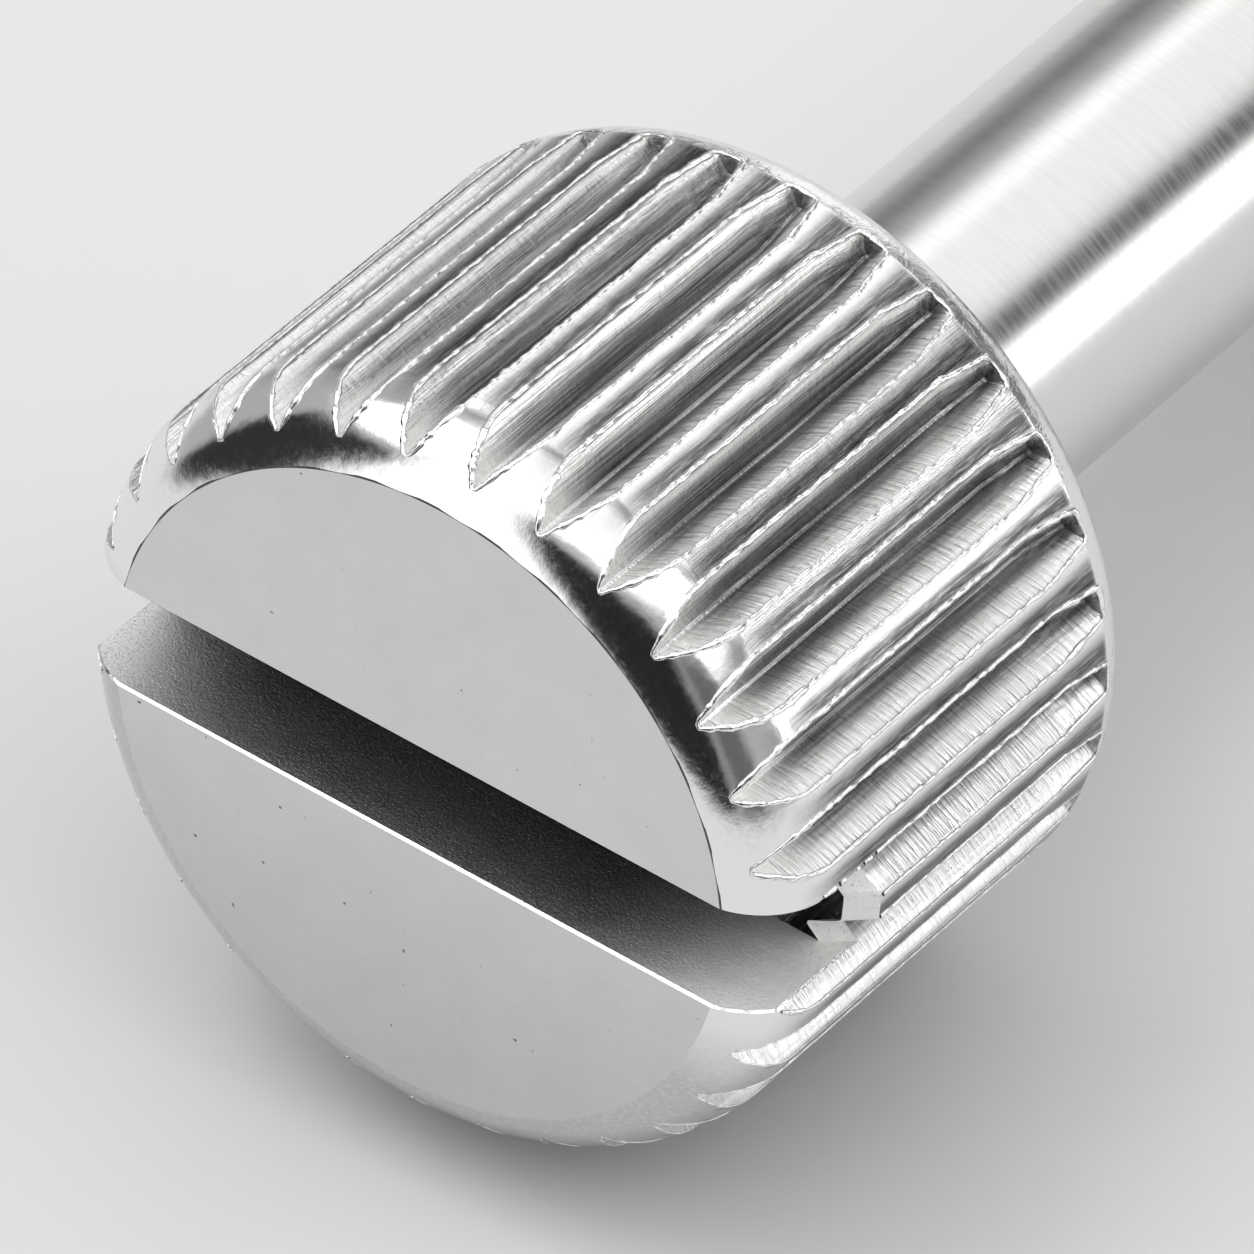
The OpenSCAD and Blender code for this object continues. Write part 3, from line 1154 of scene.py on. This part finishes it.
def lay_table(looks):
    """The plain pale table top, a disc whose near edge lies outside the picture."""
    ring = [TABLE_MIDDLE + TABLE_RADIUS * Vector((math.cos(t), math.sin(t), 0)) for t in circle(256)]
    mesh = bpy.data.meshes.new("table")
    mesh.from_pydata(ring, [], [tuple(range(len(ring)))])
    material = bpy.data.materials.new("table_top")
    material.use_nodes = True
    shader = material.node_tree.nodes["Principled BSDF"]
    shader.inputs["Base Color"].default_value = (*looks.table, 1.0)
    shader.inputs["Roughness"].default_value = 0.9
    shader.inputs["Specular IOR Level"].default_value = 0.1
    mesh.materials.append(material)
    table = bpy.data.objects.new("table", mesh)
    bpy.context.scene.collection.objects.link(table)


def aim_camera(looks, slot_depth):
    """The camera, placed by where it shows the middle of the slotted face."""
    level = Vector((math.cos(looks.azimuth), math.sin(looks.azimuth), 0))
    ahead = Vector((-math.sin(looks.azimuth), math.cos(looks.azimuth), 0))
    forward = ahead * math.cos(looks.elevation) - Vector((0, 0, math.sin(looks.elevation)))
    up = level.cross(forward)
    right = level * math.cos(looks.roll) + up * math.sin(looks.roll)
    up = right.cross(forward)
    face_middle = lying_pose(slot_depth).translation
    place = face_middle - right * looks.face_right + up * looks.face_below - forward * looks.distance
    data = bpy.data.cameras.new("camera")
    data.lens = looks.lens
    data.sensor_width = 36
    data.clip_start = 0.01
    data.clip_end = 20
    camera = bpy.data.objects.new("camera", data)
    camera.matrix_world = Matrix.Translation(place) @ Matrix((right, up, -forward)).transposed().to_4x4()
    bpy.context.scene.collection.objects.link(camera)
    bpy.context.scene.camera = camera


# Operators, panel and registration


def settings_of(context):
    """The sizes and finishes that belong to the scene."""
    return context.scene.thumb_screw


class THUMBSCREW_OT_head(bpy.types.Operator):
    """Build the knurled head with its slot"""

    bl_idname = "thumb_screw.head"
    bl_label = "Knurled Head"

    def execute(self, context):
        settings = settings_of(context)
        looks = settings.finish
        made = {
            "face": face_finish(looks),
            "land": land_finish(looks),
            "groove": groove_finish(looks),
            "rim": rim_finish(looks),
            "slot": slot_finish("slot_wall", looks, looks.sawn),
            "ticked": ticked_finish(looks),
            "floor": slot_finish("slot_floor", looks, looks.slot_floor),
            "edge": painted_edge_shade_finish(looks),
            "chamfer": burr_finish("slot_chamfer", looks),
            "round": round_finish(looks),
        }
        build_head(settings, [made[name] for name in FINISH_NAMES])
        build_burrs(settings, [burr_finish("bright_burr", looks)])
        return {"FINISHED"}


class THUMBSCREW_OT_shank(bpy.types.Operator):
    """Build the plain shank and the threaded end"""

    bl_idname = "thumb_screw.shank"
    bl_label = "Shank And Thread"

    def execute(self, context):
        settings = settings_of(context)
        metal = shank_finish(settings.finish)
        build_shank(settings, [metal])
        build_thread(settings, [metal])
        return {"FINISHED"}


class THUMBSCREW_OT_stage(bpy.types.Operator):
    """Lay the table and set the light and the camera"""

    bl_idname = "thumb_screw.stage"
    bl_label = "Table, Light And Camera"

    def execute(self, context):
        settings = settings_of(context)
        lay_table(settings.stage)
        light_studio(settings.stage)
        aim_camera(settings.stage, settings.slot.depth)
        context.scene.view_settings.view_transform = "Standard"
        return {"FINISHED"}


class THUMBSCREW_PT_panel(bpy.types.Panel):
    """Lists the screw's sizes and the operators that build it"""

    bl_idname = "THUMBSCREW_PT_panel"
    bl_label = "Thumb Screw"
    bl_space_type = "VIEW_3D"
    bl_region_type = "UI"
    bl_category = "Thumb Screw"

    def draw(self, context):
        settings = settings_of(context)
        for name in ("head", "knurl", "slot", "shank", "finish", "stage"):
            box = self.layout.box()
            box.label(text=name.capitalize())
            group = getattr(settings, name)
            for key in group.__annotations__:
                box.prop(group, key)
        for operator in (THUMBSCREW_OT_head, THUMBSCREW_OT_shank, THUMBSCREW_OT_stage):
            self.layout.operator(operator.bl_idname)


CLASSES = (
    HeadSizes,
    KnurlSizes,
    SlotSizes,
    ShankSizes,
    FinishLooks,
    StageLooks,
    ThumbScrewSettings,
    THUMBSCREW_OT_head,
    THUMBSCREW_OT_shank,
    THUMBSCREW_OT_stage,
    THUMBSCREW_PT_panel,
)


def register():
    for cls in CLASSES:
        bpy.utils.register_class(cls)
    bpy.types.Scene.thumb_screw = PointerProperty(type=ThumbScrewSettings)


def unregister():
    del bpy.types.Scene.thumb_screw
    for cls in reversed(CLASSES):
        bpy.utils.unregister_class(cls)


def main():
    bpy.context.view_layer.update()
    register()
    bpy.ops.thumb_screw.head()
    bpy.ops.thumb_screw.shank()
    bpy.ops.thumb_screw.stage()


if __name__ == "__main__":
    main()
